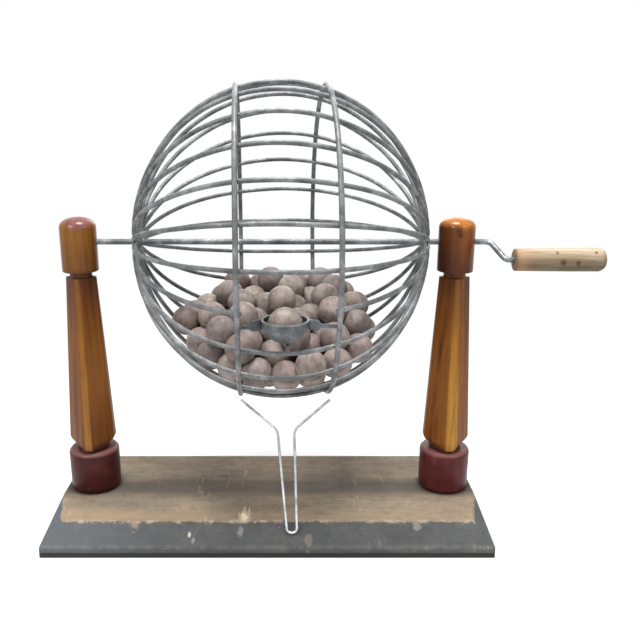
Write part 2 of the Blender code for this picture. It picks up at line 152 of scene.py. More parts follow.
# Two nail holes and three knots, from the start and the middle of the handle
HANDLE_KNOTS = (
    (0.0285, -0.0056, 0.0059, 0.0005, 0.0015),
    (0.0560, -0.0056, 0.0061, 0.0005, 0.0016),
    (0.0325, -0.0082, -0.0006, 0.0008, 0.0032),
    (0.0430, -0.0082, -0.0010, 0.0007, 0.0028),
    (0.0200, 0.0050, 0.0066, 0.0006, 0.0022),
)

# The camera, fitted to the photograph
PHOTO_PIXELS = 640
FOCAL_PIXELS = 740
VIEW_MIDDLE_PIXEL = 292
SENSOR_WIDTH = 36.0
CAMERA_PLACE = (0.018, -0.540, 0.3093)
CAMERA_DOWN = 15.5


def node(tree, kind, inputs=None, **props):
    """Adds a node. An input is a value or another node's output."""
    made = tree.nodes.new(kind)
    for key, value in props.items():
        setattr(made, key, value)
    for key, value in (inputs or {}).items():
        if isinstance(value, bpy.types.NodeSocket):
            tree.links.new(value, made.inputs[key])
        else:
            made.inputs[key].default_value = value
    return made


def shader_material(name, roughness=0.5, metallic=0.0, **uniform):
    made = bpy.data.materials.new(name)
    made.use_nodes = True
    shader = made.node_tree.nodes["Principled BSDF"]
    shader.inputs["Roughness"].default_value = roughness
    shader.inputs["Metallic"].default_value = metallic
    for key, value in uniform.items():
        shader.inputs[key.replace("_", " ")].default_value = value
    return made, made.node_tree


def coords(tree, scale=(1, 1, 1), at=(0, 0, 0), turn=(0, 0, 0)):
    place = node(tree, "ShaderNodeTexCoord").outputs["Object"]
    inputs = {"Vector": place, "Scale": scale, "Location": at, "Rotation": turn}
    return node(tree, "ShaderNodeMapping", inputs).outputs["Vector"]


def noise(tree, vector, scale, detail=4.0, rough=0.55, distortion=0.0):
    inputs = {"Vector": vector, "Scale": scale, "Detail": detail, "Roughness": rough}
    inputs["Distortion"] = distortion
    return node(tree, "ShaderNodeTexNoise", inputs).outputs["Fac"]


def ramp(tree, factor, stops):
    made = node(tree, "ShaderNodeValToRGB", {"Fac": factor})
    bar = made.color_ramp
    while len(bar.elements) < len(stops):
        bar.elements.new(1.0)
    for element, (at, colour) in zip(bar.elements, stops):
        element.position = at
        element.color = (*colour, 1.0)
    return made.outputs["Color"]


def opaque(colour):
    return colour if isinstance(colour, bpy.types.NodeSocket) else (*colour, 1.0)


def mix(tree, factor, a, b, blend="MIX"):
    inputs = {0: factor, 6: opaque(a), 7: opaque(b)}
    return node(tree, "ShaderNodeMix", inputs, data_type="RGBA", blend_type=blend).outputs[2]


def shaded(tree, colour, share, factor, stops):
    """A colour multiplied by a ramp over a factor."""
    return mix(tree, share, colour, ramp(tree, factor, stops), "MULTIPLY")


def maths(tree, operation, a, b=0.0):
    return node(tree, "ShaderNodeMath", {0: a, 1: b}, operation=operation).outputs[0]


def times(tree, a, b):
    return maths(tree, "MULTIPLY", a, b)


def vector_maths(tree, operation, a, b):
    return node(tree, "ShaderNodeVectorMath", {0: a, 1: b}, operation=operation).outputs["Vector"]


def span(tree, value, low, high, to_low=0.0, to_high=1.0):
    """Value from low to high, carried over to to_low and to_high, and held there."""
    inputs = {"Value": value, "From Min": low, "From Max": high, "To Min": to_low, "To Max": to_high}
    return node(tree, "ShaderNodeMapRange", inputs).outputs["Result"]


def spread(tree, value, to_low, to_high):
    """A noise, which mostly stays in the noise range, carried over to to_low and to_high."""
    return span(tree, value, *NOISE_RANGE, to_low, to_high)


def near(tree, vector, point, low, high):
    """One at a point, falling to zero between two distances from it."""
    gap = node(tree, "ShaderNodeVectorMath", {0: vector, 1: point}, operation="DISTANCE").outputs["Value"]
    return span(tree, gap, low, high, 1.0, 0.0)


def axes(tree, vector):
    return node(tree, "ShaderNodeSeparateXYZ", {"Vector": vector}).outputs


def dressed(made, colour, rough, height, strength, distance):
    """Gives a material its colour and roughness, and a bump from a height."""
    tree = made.node_tree
    inputs = {"Height": height, "Strength": strength, "Distance": distance}
    normal = node(tree, "ShaderNodeBump", inputs).outputs["Normal"]
    shader = tree.nodes["Principled BSDF"]
    for key, value in (("Base Color", colour), ("Roughness", rough), ("Normal", normal)):
        tree.links.new(value, shader.inputs[key])
    return made


def varnished_post(name, x, shift, side_gold, front_highlight_gold, highlight_shift, strip):
    """Amber varnish over straight grain, with a painted highlight down the front corner and painted shade at
    the toe. The top is darker.
    """
    made, tree = shader_material(name, Coat_Weight=0.06, Coat_Roughness=0.25, Specular_IOR_Level=0.15)
    place = coords(tree)
    along, forward, height = axes(tree, place)
    across = maths(tree, "SUBTRACT", along, x)
    broad = noise(tree, coords(tree, (1, 1, 0.05), shift), 120, 3, 0.5, 0.4)
    streak = noise(tree, coords(tree, (1, 1, 0.02), shift), 330, 5, 0.6, 0.3)
    patch = noise(tree, coords(tree, (1, 1, 0.4), shift), 26, 3)
    brown = (0.090, 0.028, 0.007)
    golds = [(0.32, brown), (0.46, side_gold), (0.62, side_gold), (0.76, (0.19, 0.064, 0.011))]
    base = ramp(tree, broad, golds)
    up = span(tree, height, SHAFT_BOTTOM, SHAFT_TOP)
    # Painted highlight: a pale gold strip down the front corner, brightest near the bottom and moved
    # sideways there.
    centre = times(tree, highlight_shift, span(tree, up, 0.9, 0.0, 0.0, 1.0))
    off = maths(tree, "ABSOLUTE", maths(tree, "SUBTRACT", across, centre))
    flat = span(tree, up, 0.0, 1.0, strip, strip * 0.6)
    front = span(tree, maths(tree, "SUBTRACT", off, flat), 0.0008, -0.0008)
    front = times(tree, front, span(tree, forward, -0.004, -0.008))
    bright = span(tree, up, 0.05, 0.85, 1.0, 0.35)
    colour = mix(tree, times(tree, front, bright), base, front_highlight_gold)
    fine = [(0.36, (0.60, 0.50, 0.44)), (0.54, WHITE), (0.75, (1.0, 0.94, 0.85))]
    colour = shaded(tree, colour, 0.75, streak, fine)
    colour = shaded(tree, colour, 0.6, patch, [(0.40, (0.66, 0.56, 0.50)), (0.60, WHITE)])
    stain = times(tree, span(tree, up, 0.62, 0.98), span(tree, broad, 0.62, 0.40, 0.25, 1.0))
    colour = mix(tree, times(tree, stain, 0.85), colour, (0.062, 0.018, 0.008))
    # Painted shade on the toe and the lower neck above the foot, lighter under the painted highlight.
    low = span(tree, height, SHAFT_BOTTOM - 0.002, SHAFT_BOTTOM + 0.004, 0.8, 0.0)
    low = times(tree, low, span(tree, front, 0.0, 1.0, 1.0, 0.35))
    colour = mix(tree, low, colour, (0.045, 0.012, 0.007))
    return dressed(made, colour, spread(tree, patch, 0.34, 0.5), streak, 0.18, 0.0006)


def varnished_head(name, x, low_colour, high_colour, top_colour, dark_side, stain_at=None):
    """Thick varnish, darker towards the bottom and of its own colour on the dome, with painted shade down
    the left side and along the lower edge.
    """
    made, tree = shader_material(name, Coat_Weight=0.16, Coat_Roughness=0.14, Specular_IOR_Level=0.15)
    place = coords(tree)
    along, _, height = axes(tree, place)
    cloud = noise(tree, coords(tree, (1, 1, 0.35)), 70, 4)
    grain = noise(tree, coords(tree, (1, 1, 0.05)), 320, 5, 0.6, 0.4)
    level = maths(tree, "ADD", height, spread(tree, cloud, -0.004, 0.004))
    up = span(tree, level, HEAD_BOTTOM + 0.004, HEAD_TOP - 0.010)
    colour = mix(tree, up, low_colour, high_colour)
    cap = span(tree, level, HEAD_TOP - 0.0085, HEAD_TOP - 0.0045)
    colour = mix(tree, cap, colour, top_colour)
    colour = shaded(tree, colour, 0.75, grain, [(0.38, (0.62, 0.52, 0.46)), (0.6, WHITE)])
    side = maths(tree, "SUBTRACT", along, x)
    shade = times(tree, span(tree, side, 0.004, -0.0125), span(tree, cap, 1.0, 0.0, 0.0, dark_side))
    colour = mix(tree, shade, colour, (0.040, 0.011, 0.007))
    # Painted shade along the head's lower edge, above the post's neck.
    foot = span(tree, height, HEAD_BOTTOM, HEAD_BOTTOM + 0.003, 0.7, 0.0)
    colour = mix(tree, foot, colour, (0.04, 0.013, 0.006))
    if stain_at:
        squash = 0.7
        middle = (stain_at[0], stain_at[1], stain_at[2] * squash)
        stain = near(tree, coords(tree, (1, 1, squash)), middle, 0.0010, 0.0034)
        stain = times(tree, stain, span(tree, grain, 0.3, 0.6, 0.55, 0.95))
        colour = mix(tree, stain, colour, (0.050, 0.010, 0.003))
    return dressed(made, colour, spread(tree, cloud, 0.2, 0.34), cloud, 0.15, 0.0008)


def lacquered_foot(name, shift, glow):
    """Dark maroon lacquer with a painted highlight on its top and upper rim, painted shade at its bottom and
    a few chips. Glow is its brightness.
    """
    made, tree = shader_material(name, Coat_Weight=0.05, Coat_Roughness=0.25, Specular_IOR_Level=0.12)
    place = coords(tree, (1, 1, 1), shift)
    cloud = noise(tree, place, 60, 5, 0.6)
    grain = noise(tree, coords(tree, (1, 1, 0.08), shift), 240, 4, 0.6)
    chips = noise(tree, place, 330, 3, 0.7)
    height = axes(tree, coords(tree))["Z"]
    reds = [(0.3, (0.040, 0.008, 0.008)), (0.55, (0.068, 0.014, 0.013)), (0.75, (0.098, 0.024, 0.021))]
    colour = ramp(tree, cloud, [(at, [share * glow for share in red]) for at, red in reds])
    colour = shaded(tree, colour, 0.7, grain, [(0.35, (0.7, 0.66, 0.64)), (0.6, WHITE)])
    # Painted highlight: a paler pink on the top and the upper rim.
    rim = span(tree, height, FOOT_TOP - 0.0026, FOOT_TOP - 0.0008, 0.0, 0.6)
    colour = mix(tree, rim, colour, (0.21, 0.095, 0.085))
    # Painted shade at the bottom, where the foot stands on the board.
    low = span(tree, height, BASE_TOP, BASE_TOP + 0.003, 0.75, 0.0)
    colour = mix(tree, low, colour, (0.018, 0.006, 0.006))
    chip = span(tree, chips, 0.70, 0.735)
    colour = mix(tree, times(tree, chip, 0.6), colour, (0.26, 0.14, 0.075))
    relief = maths(tree, "ADD", cloud, times(tree, grain, 0.4))
    return dressed(made, colour, spread(tree, cloud, 0.3, 0.5), relief, 0.22, 0.0008)


def painted_board():
    """Rubbed brown on top, slate grey paint on the slopes, scraped through along the front edge."""
    made, tree = shader_material("painted_board_worn", Specular_IOR_Level=0.3)
    place = coords(tree)
    across, forward, height = axes(tree, place)
    wide = noise(tree, coords(tree, (0.6, 1.2, 1)), 20, 5, 0.6)
    grain = noise(tree, coords(tree, (0.10, 1, 1)), 210, 5, 0.65, 0.5)
    cloud = noise(tree, place, 55, 6, 0.65)
    ragged = noise(tree, coords(tree, (0.6, 1, 1)), 190, 5, 0.75)
    blots = noise(tree, place, 130, 5, 0.7, 0.6)
    browns = [
        (0.30, (0.135, 0.112, 0.088)),
        (0.46, (0.20, 0.160, 0.115)),
        (0.64, (0.265, 0.210, 0.145)),
        (0.8, (0.21, 0.175, 0.135)),
    ]
    top = ramp(tree, wide, browns)
    fine = ramp(tree, grain, [(0.32, (0.66, 0.63, 0.60)), (0.55, WHITE)])
    top = mix(tree, 0.6, top, fine, "MULTIPLY")
    soot = ramp(tree, blots, [(0.36, (0.60, 0.58, 0.56)), (0.52, WHITE)])
    top = mix(tree, 0.55, top, soot, "MULTIPLY")
    band = times(tree, span(tree, forward, -0.036, -0.050), span(tree, wide, 0.30, 0.62))
    band = times(tree, band, span(tree, across, 0.03, -0.10, 0.25, 0.9))
    top = mix(tree, band, top, (0.31, 0.215, 0.125))
    scrape = noise(tree, coords(tree, (1.0, 0.16, 0.3), turn=(0, 0, 0.12)), 260, 4, 0.6, 0.6)
    rubbed_spot = (-0.0165, -0.0205, BASE_TOP)
    rubbed = near(tree, coords(tree, (1.0, 0.42, 1.0)), rubbed_spot, 0.0022, 0.0060)
    rubbed = times(tree, rubbed, span(tree, scrape, 0.46, 0.56))
    top = mix(tree, times(tree, rubbed, 0.95), top, (0.66, 0.52, 0.34))
    # Painted shadow of the cage and the balls: a dark band along the middle of the top, a little weaker near
    # the centre.
    shadow_back = 0.006
    off_middle = maths(tree, "ABSOLUTE", maths(tree, "ADD", forward, shadow_back))
    cage_shadow = times(tree, span(tree, off_middle, 0.018, 0.006), 0.92)
    cage_shadow = times(tree, cage_shadow, span(tree, maths(tree, "ABSOLUTE", across), 0.02, 0.10, 0.78, 1.0))
    top = mix(tree, cage_shadow, top, (0.064, 0.053, 0.042))
    specks = node(tree, "ShaderNodeTexVoronoi", {"Vector": place, "Scale": 230.0, "Randomness": 1.0})
    speck = span(tree, specks.outputs["Distance"], 0.12, 0.07)
    speck = times(tree, speck, span(tree, noise(tree, place, 38, 2), 0.54, 0.60))
    scratch = noise(tree, coords(tree, (1.0, 0.10, 0.3), (0.3, 0.1, 0), (0, 0, 0.35)), 190, 3, 0.5, 1.2)
    scratch = times(tree, span(tree, scratch, 0.66, 0.71), span(tree, cloud, 0.45, 0.60))
    marks = times(tree, maths(tree, "MAXIMUM", speck, scratch), 0.5)
    top = mix(tree, marks, top, (0.46, 0.37, 0.26))
    greys = [(0.30, (0.054, 0.055, 0.057)), (0.50, (0.068, 0.069, 0.069)), (0.72, (0.100, 0.099, 0.095))]
    slate = ramp(tree, cloud, greys)
    slate = mix(tree, 0.3, slate, soot, "MULTIPLY")
    slate = mix(tree, 0.35, slate, fine, "MULTIPLY")
    slate = mix(tree, span(tree, across, -0.08, -0.15, 0.0, 0.5), slate, (0.085, 0.098, 0.110))
    slate = mix(tree, marks, slate, (0.26, 0.24, 0.21))
    for x, y, low, high, share, tone in BOARD_SCARS:
        spot = near(tree, coords(tree, (1, 1, 0)), (x, y, 0), low, high)
        spot = maths(tree, "ADD", spot, spread(tree, ragged, -0.55, 0.55))
        slate = mix(tree, span(tree, spot, 0.45, 0.75, 0.0, share), slate, tone)
    # Painted highlight along the top of the front edge, where it meets the slope.
    lip = times(tree, span(tree, height, 0.0062, 0.0078), span(tree, height, 0.0104, 0.0088))
    lip = times(tree, lip, span(tree, blots, 0.40, 0.60, 0.05, 0.30))
    slate = mix(tree, lip, slate, (0.17, 0.167, 0.158))
    edge = maths(tree, "ADD", height, spread(tree, ragged, -0.0004, 0.0004))
    black = mix(tree, cloud, (0.008, 0.008, 0.008), (0.028, 0.027, 0.026))
    slate = mix(tree, span(tree, edge, 0.0048, 0.0040), slate, black)
    line = maths(tree, "ADD", height, spread(tree, ragged, -0.0009, 0.0009))
    colour = mix(tree, span(tree, line, BASE_TOP - 0.0015, BASE_TOP - 0.0009), slate, top)
    worn = span(tree, height, BASE_TOP - 0.0026, BASE_TOP - 0.0012)
    worn = times(tree, worn, span(tree, blots, 0.50, 0.58))
    worn = times(tree, worn, span(tree, height, BASE_TOP - 0.0001, BASE_TOP - 0.0006, 0.0, 0.7))
    colour = mix(tree, worn, colour, (0.36, 0.30, 0.22))
    # Painted shade on the board around each foot.
    for x in (-POST_X, POST_X):
        ring = near(tree, place, (x, 0, BASE_TOP), 0.0187, 0.0225)
        colour = mix(tree, times(tree, ring, 0.75), colour, (0.030, 0.022, 0.018))
    relief = maths(tree, "ADD", grain, times(tree, cloud, 0.7))
    return dressed(made, colour, spread(tree, cloud, 0.6, 0.85), relief, 0.25, 0.0007)


def bare_handle():
    """Pale unvarnished wood with painted shade along its underside, small knots and nail holes."""
    made, tree = shader_material("bare_handle_wood_worn", Specular_IOR_Level=0.12)
    place = coords(tree)
    along, _, height = axes(tree, place)
    grain = noise(tree, coords(tree, (0.05, 1, 1)), 420, 5, 0.65, 0.6)
    band = noise(tree, coords(tree, (0.12, 1, 1)), 130, 4, 0.6, 0.6)
    cloud = noise(tree, coords(tree, (0.5, 1, 1)), 90, 4)
    tans = [(0.30, (0.25, 0.185, 0.115)), (0.5, (0.37, 0.295, 0.205)), (0.7, (0.46, 0.385, 0.285))]
    colour = ramp(tree, band, tans)
    colour = shaded(tree, colour, 0.75, grain, [(0.34, (0.55, 0.48, 0.40)), (0.58, WHITE)])
    # Painted shade along the underside, made uneven by the cloud.
    under = span(tree, height, PIN_Z + 0.0060, PIN_Z - 0.0035, 0.0, 0.9)
    under = times(tree, under, span(tree, cloud, 0.25, 0.6, 0.75, 1.0))
    colour = mix(tree, under, colour, (0.066, 0.050, 0.027))
    inner = span(tree, along, HANDLE_START + 0.014, HANDLE_START + 0.004, 0.0, 0.5)
    colour = mix(tree, inner, colour, (0.33, 0.175, 0.10))
    for x, y, z, low, high in HANDLE_KNOTS:
        knot = near(tree, place, (HANDLE_START + x, y - CRANK_FORWARD, PIN_Z + z), low, high)
        colour = mix(tree, times(tree, knot, 0.85), colour, (0.055, 0.030, 0.015))
    end = span(tree, along, HANDLE_START + 0.003, HANDLE_START, 0.0, 0.6)
    colour = mix(tree, end, colour, (0.12, 0.08, 0.045))
    relief = maths(tree, "ADD", grain, band)
    return dressed(made, colour, spread(tree, cloud, 0.5, 0.72), relief, 0.3, 0.0006)


def dull_metal(name, dark, mid, light, metallic, rough, size=1.0, gloss=0.3):
    """Worn metal: cloudy patches, darker where it is handled, with small rubbed bright spots."""
    made, tree = shader_material(name, metallic=metallic, Specular_IOR_Level=gloss)
    place = coords(tree)
    cloud = noise(tree, place, 75 * size, 5, 0.62)
    spots = noise(tree, place, 420 * size, 4, 0.65)
    colour = ramp(tree, cloud, [(0.30, dark), (0.5, mid), (0.70, light)])
    colour = shaded(tree, colour, 0.5, spots, [(0.32, (0.50, 0.49, 0.47)), (0.52, WHITE)])
    colour = mix(tree, span(tree, spots, 0.66, 0.76, 0.0, 0.5), colour, light)
    relief = maths(tree, "ADD", spots, cloud)
    return dressed(made, colour, spread(tree, cloud, rough + 0.12, rough - 0.08), relief, 0.15, 0.0003)


def turned_balls():
    """Matt turned wood from tan to dusty pink, each ball with its own tone, grain and soiling."""
    made, tree = shader_material("turned_ball_wood_worn", Specular_IOR_Level=0.25)
    place = coords(tree)
    tone = node(tree, "ShaderNodeAttribute", attribute_name="tone").outputs["Fac"]
    shift = node(tree, "ShaderNodeCombineXYZ", {"X": tone, "Y": times(tree, tone, 7.3), "Z": tone})
    own = vector_maths(tree, "ADD", place, shift.outputs["Vector"])
    grain = noise(tree, vector_maths(tree, "MULTIPLY", own, (1.0, 0.22, 0.6)), 330, 4, 0.6, 0.5)
    cloud = noise(tree, own, 95, 5, 0.6)
    tones = [
        (0.0, (0.140, 0.106, 0.094)),
        (0.2, (0.265, 0.222, 0.208)),
        (0.4, (0.180, 0.152, 0.145)),
        (0.6, (0.315, 0.270, 0.238)),
        (0.8, (0.250, 0.190, 0.187)),
        (1.0, (0.160, 0.129, 0.110)),
    ]
    colour = ramp(tree, tone, tones)
    colour = shaded(tree, colour, 0.7, grain, [(0.34, (0.68, 0.62, 0.58)), (0.56, WHITE)])
    colour = shaded(tree, colour, 0.7, cloud, [(0.34, (0.36, 0.30, 0.27)), (0.60, (1.08, 1.06, 1.04))])
    return dressed(made, colour, spread(tree, cloud, 0.62, 0.46), grain, 0.2, 0.0005)


def new_tree(name, floats, whole):
    """A Geometry Nodes tree with one geometry in and out, named numbers and a material."""
    tree = bpy.data.node_groups.new(name, "GeometryNodeTree")
    sockets = [("Geometry", "Geometry"), ("Material", "Material")]
    sockets += [(label, "Float") for label in floats] + [(label, "Int") for label in whole]
    for label, kind in sockets:
        tree.interface.new_socket(label, in_out="INPUT", socket_type="NodeSocket" + kind)
    tree.interface.new_socket("Geometry", in_out="OUTPUT", socket_type="NodeSocketGeometry")
    return tree, tree.nodes.new("NodeGroupInput").outputs, tree.nodes.new("NodeGroupOutput").inputs


def end_tree(tree, ins, outs, geometry):
    real = node(tree, "GeometryNodeRealizeInstances", {"Geometry": geometry}).outputs[0]
    even = node(tree, "GeometryNodeSetShadeSmooth", {"Geometry": real}).outputs[0]
    done = node(tree, "GeometryNodeSetMaterial", {"Geometry": even, "Material": ins["Material"]}).outputs[0]
    tree.links.new(done, outs["Geometry"])


def wire_tree():
    """Round wire along every path of edges, with a slight hand-bent wobble."""
    floats = ("Radius", "Wobble", "Wobble Scale", "Seed")
    tree, ins, outs = new_tree("wire_along_path", floats, ["Sides"])
    path = node(tree, "GeometryNodeMeshToCurve", {"Mesh": ins["Geometry"]}).outputs[0]
    place = node(tree, "GeometryNodeInputPosition").outputs[0]
    inputs = {"Vector": place, "W": ins["Seed"], "Scale": ins["Wobble Scale"], "Detail": 1.0}
    waves = node(tree, "ShaderNodeTexNoise", inputs, noise_dimensions="4D").outputs["Color"]
    even = vector_maths(tree, "SUBTRACT", waves, (0.5, 0.5, 0.5))
    inputs = {0: even, "Scale": ins["Wobble"]}
    offset = node(tree, "ShaderNodeVectorMath", inputs, operation="SCALE").outputs[0]
    bent = node(tree, "GeometryNodeSetPosition", {"Geometry": path, "Offset": offset}).outputs[0]
    inputs = {"Resolution": ins["Sides"], "Radius": ins["Radius"]}
    ring = node(tree, "GeometryNodeCurvePrimitiveCircle", inputs).outputs[0]
    inputs = {"Curve": bent, "Profile Curve": ring, "Fill Caps": True}
    end_tree(tree, ins, outs, node(tree, "GeometryNodeCurveToMesh", inputs).outputs[0])
    return tree


def ball_tree():
    """A turned ball on every point, each with its own tone and turned its own way."""
    tree, ins, outs = new_tree("balls_on_points", ["Radius"], ["Segments", "Rings", "Seed"])
    inputs = {"Segments": ins["Segments"], "Rings": ins["Rings"], "Radius": ins["Radius"]}
    ball = node(tree, "GeometryNodeMeshUVSphere", inputs).outputs[0]
    turn = node(tree, "FunctionNodeRandomValue", {"Seed": ins["Seed"]}, data_type="FLOAT_VECTOR")
    turn.inputs["Max"].default_value = (BALL_TURN, BALL_TURN, BALL_TURN)
    inputs = {"Points": ins["Geometry"], "Instance": ball, "Rotation": turn.outputs["Value"]}
    put = node(tree, "GeometryNodeInstanceOnPoints", inputs).outputs[0]
    tone = node(tree, "FunctionNodeRandomValue", {"Seed": ins["Seed"]}, data_type="FLOAT")
    store = "GeometryNodeStoreNamedAttribute"
    toned = node(tree, store, {"Geometry": put, "Name": "tone"}, data_type="FLOAT", domain="INSTANCE")
    tree.links.new(tone.outputs[1], toned.inputs["Value"])
    end_tree(tree, ins, outs, toned.outputs[0])
    return tree


def solder_tree():
    """A small uneven lump of solder on every point."""
    tree, ins, outs = new_tree("solder_on_points", ["Radius"], ["Seed"])
    inputs = {"Segments": 12, "Rings": 8, "Radius": ins["Radius"]}
    lump = node(tree, "GeometryNodeMeshUVSphere", inputs).outputs[0]
    size = node(tree, "FunctionNodeRandomValue", {"Seed": ins["Seed"]}, data_type="FLOAT_VECTOR")
    size.inputs["Min"].default_value = (0.9, 0.75, 0.75)
    size.inputs["Max"].default_value = (1.35, 1.1, 1.1)
    inputs = {"Points": ins["Geometry"], "Instance": lump, "Scale": size.outputs["Value"]}
    end_tree(tree, ins, outs, node(tree, "GeometryNodeInstanceOnPoints", inputs).outputs[0])
    return tree


def add_object(name, data):
    made = bpy.data.objects.new(name, data)
    scene.collection.objects.link(made)
    return made


def as_mesh(shape):
    mesh = bpy.data.meshes.new("shape")
    shape.to_mesh(mesh)
    shape.free()
    return mesh


def baked(guide, name):
    """The evaluated shape of an object as a plain mesh object, without its modifiers."""
    bpy.context.view_layer.update()
    graph = bpy.context.evaluated_depsgraph_get()
    shape = guide.evaluated_get(graph)
    mesh = bpy.data.meshes.new_from_object(shape, preserve_all_data_layers=True, depsgraph=graph)
    bpy.data.objects.remove(guide, do_unlink=True)
    mesh.name = name
    return add_object(name, mesh)


def settle(piece, body, replaced):
    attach(piece, body)
    if replaced:
        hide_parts(*replaced)


def grow(name, tree, mesh, values, body, replaced):
    """Runs a tree on a mesh and keeps the result as a plain piece on a body."""
    guide = add_object(name + "_guide", mesh)
    modifier = guide.modifiers.new("grow", "NODES")
    modifier.node_group = tree
    for socket in tree.interface.items_tree:
        if socket.in_out == "INPUT" and socket.name in values:
            modifier[socket.identifier] = values[socket.name]
    settle(baked(guide, name), body, replaced)


def paths_mesh(paths, closed=False):
    points, edges = [], []
    for path in paths:
        first = len(points)
        points += [tuple(point) for point in path]
        edges += [(first + i, first + i + 1) for i in range(len(path) - 1)]
        if closed:
            edges.append((len(points) - 1, first))
    mesh = bpy.data.meshes.new("paths")
    mesh.from_pydata(points, edges, [])
    return mesh


def lathe_mesh(profile, steps, move):
    """A turned shape. The profile's first and last points lie on the axis, or it closes on itself."""
    shape = bmesh.new()
    rings = []
    turns = [2 * pi * i / steps for i in range(steps)]
    for radius, height in profile:
        around = turns if radius > ON_AXIS else [0.0]
        rings.append([shape.verts.new((radius * cos(a), radius * sin(a), height)) for a in around])
    pairs = list(zip(rings, rings[1:]))
    if len(rings[0]) > 1:
        pairs.append((rings[-1], rings[0]))
    for upper, lower in pairs:
        for i in range(steps):
            j = (i + 1) % steps
            corners = [ring[k % len(ring)] for ring, k in ((upper, i), (lower, i), (lower, j), (upper, j))]
            kept = list(dict.fromkeys(corners))
            if len(kept) > 2:
                shape.faces.new(kept)
    bmesh.ops.recalc_face_normals(shape, faces=shape.faces)
    bmesh.ops.transform(shape, matrix=move, verts=shape.verts)
    return as_mesh(shape)


def along_x(x, y, z):
    return Matrix.Translation((x, y, z)) @ Matrix.Rotation(radians(90), 4, "Y")


def rounded(profile, corners, steps=5):
    """Rounds the named corners of an outline: corners maps an index to a radius."""
    result = []
    for i, point in enumerate(profile):
        if i not in corners:
            result.append(point)
            continue
        here = Vector(point)
        before = (Vector(profile[i - 1]) - here).normalized() * corners[i]
        after = (Vector(profile[i + 1]) - here).normalized() * corners[i]
        for k in range(steps + 1):
            t = k / steps
            result.append(tuple(here + before * (1 - t) ** 2 + after * t**2))
    return result


def rounded_path(points, radius):
    return rounded(points, {i: radius for i in range(1, len(points) - 1)}, 8)


def finished(name, meshes, material, body, replaced, bevel, angle, cutters=()):
    """Joins meshes into one piece, cuts it, eases its edges and gives it its material."""
    shape = bmesh.new()
    for mesh in meshes:
        shape.from_mesh(mesh)
    guide = add_object(name + "_guide", as_mesh(shape))
    tools = []
    for cutter in cutters:
        tool = add_object(name + "_tool", cutter)
        cut = guide.modifiers.new("cut", "BOOLEAN")
        cut.operation = "DIFFERENCE"
        cut.solver = "EXACT"
        cut.object = tool
        tools.append(tool)
    if bevel:
        ease = guide.modifiers.new("ease", "BEVEL")
        ease.width = bevel
        ease.segments = 3
        ease.limit_method = "ANGLE"
        ease.angle_limit = radians(18)
    piece = baked(guide, name)
    for tool in tools:
        bpy.data.objects.remove(tool, do_unlink=True)
    piece.data.materials.clear()
    piece.data.materials.append(material)
    piece.data.shade_smooth()
    piece.data.set_sharp_from_angle(angle=radians(angle))
    settle(piece, body, replaced)


# The cage's own geometry, as in the part's source


def wire_angle(index, turn):
    leans = np.random.default_rng(WANDER_SEED).uniform(-1.0, 1.0, WIRE_COUNT) * WIRE_WANDER / CAGE_RADIUS
    return 2 * pi * index / WIRE_COUNT + leans[index] * sin(turn) ** 2


def on_cage(radius, angle, x):
    return Vector((x, -radius * cos(angle), AXLE_Z + radius * sin(angle)))


def turn_at(x):
    return acos((CAGE_X - x) / CAGE_HALF)


def wire_point(index, turn):
    x = CAGE_X - CAGE_HALF * cos(turn)
    return on_cage(CAGE_RADIUS * sin(turn), wire_angle(index, turn), x)


def hoop_x(direction, angle):
    return HOOP_X + direction * HOOP_HALF + HOOP_SKEW * cos(angle)


def hoop_radius(direction, angle):
    return CAGE_RADIUS * sin(turn_at(hoop_x(direction, angle))) + WIRE_RADIUS + HOOP_RADIUS


def evenly(low, high, count):
    return [low + (high - low) * i / count for i in range(count + 1)]


def cage_paths():
    """Every wire from pole to pole, the gate's wire in two pieces, and the stem under the cup."""
    paths = []
    start = asin(POLE_GAP / CAGE_RADIUS)
    for index in range(WIRE_COUNT):
        if index != GATE_WIRE:
            paths.append([wire_point(index, turn) for turn in evenly(start, pi - start, WIRE_STEPS)])
            continue
        angle = wire_angle(index, pi / 2)
        left = turn_at(hoop_x(-1, angle)) + GATE_OVERLAP
        right = turn_at(hoop_x(1, angle)) - GATE_OVERLAP
        paths.append([wire_point(index, turn) for turn in evenly(start, left, GATE_STEPS)])
        paths.append([wire_point(index, turn) for turn in evenly(right, pi - start, GATE_STEPS)])
    below = CUP + Vector((0.0015, 0, -CUP_RADIUS + 0.0003))
    paths.append([below, wire_point(STEM_WIRE, turn_at(below.x))])
    return paths


def hoop_paths():
    """Both hoops, sunk by as much as they are drawn heavier than the solid ones."""
    sunk = HOOP_SEEN - HOOP_RADIUS + 0.0001
    turns = evenly(0, 2 * pi, HOOP_STEPS)[:-1]
    return [[on_cage(hoop_radius(side, a) - sunk, a, hoop_x(side, a)) for a in turns] for side in (-1, 1)]


